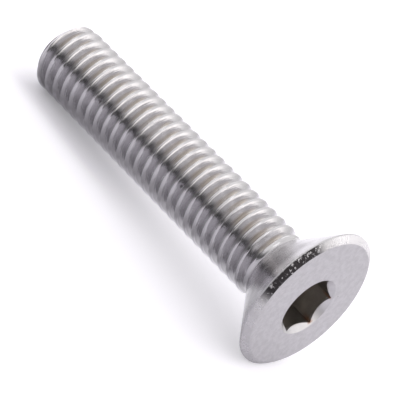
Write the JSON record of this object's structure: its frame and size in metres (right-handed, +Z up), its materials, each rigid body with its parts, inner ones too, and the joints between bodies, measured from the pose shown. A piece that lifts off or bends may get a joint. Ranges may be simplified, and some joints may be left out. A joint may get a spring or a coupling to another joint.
{
  "type": "countersunk socket screw",
  "caption": "Flat head countersunk screw with a hexagon socket, a short plain neck and a coarse right-hand thread down to a chamfered tip, lying on its side.",
  "frame": {"origin": "centre of the bounding box on the surface that the screw lies on, under the middle of its length", "axes": "+Z up from that surface, +X toward the head, -X toward the tip, +Y across the screw; the screw's own axis lies in the XZ plane and falls about 6 degrees toward the tip"},
  "size_m": [0.0302, 0.0118, 0.0118],
  "materials": {
    "steel": "bright, slightly satin stainless steel"
  },
  "bodies": {
    "root": {"screw": "steel"}
  },
  "joints": []
}
